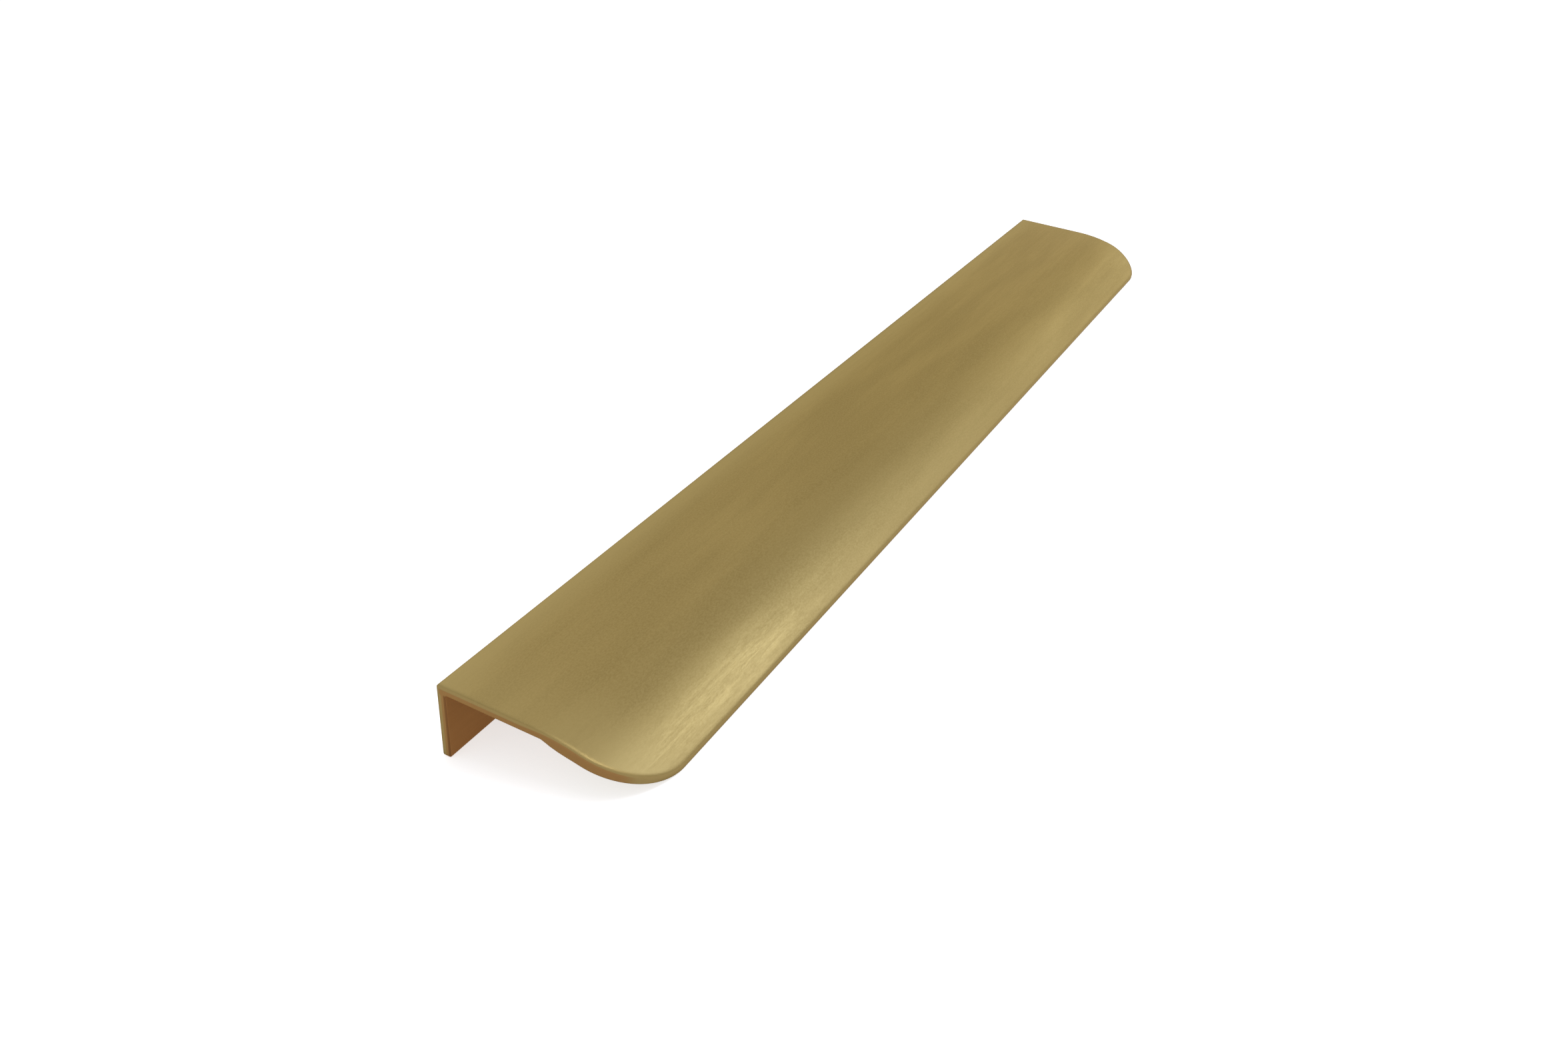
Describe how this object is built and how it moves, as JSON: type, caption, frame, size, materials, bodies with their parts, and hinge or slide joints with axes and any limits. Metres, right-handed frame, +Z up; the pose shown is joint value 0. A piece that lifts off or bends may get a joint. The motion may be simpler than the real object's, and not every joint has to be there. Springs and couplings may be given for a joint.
{
  "type": "handleless finger pull profile",
  "caption": "L-shaped edge pull: a plate that lies over the edge of a board, a screw flange behind it and a curved finger lip in front.",
  "frame": {"origin": "middle of the footprint on the floor, with the part unheld and leaning forward on the foot of its flange and the tip of its lip", "axes": "+X along the extruded length, -Y to the finger side, +Y to the flange side, +Z up"},
  "size_m": [0.3, 0.0446, 0.0163],
  "materials": {
    "brushed_metal": "brass-coloured, brushed along the length, satin"
  },
  "bodies": {
    "root": {"pull_profile": "brushed_metal"}
  },
  "joints": []
}
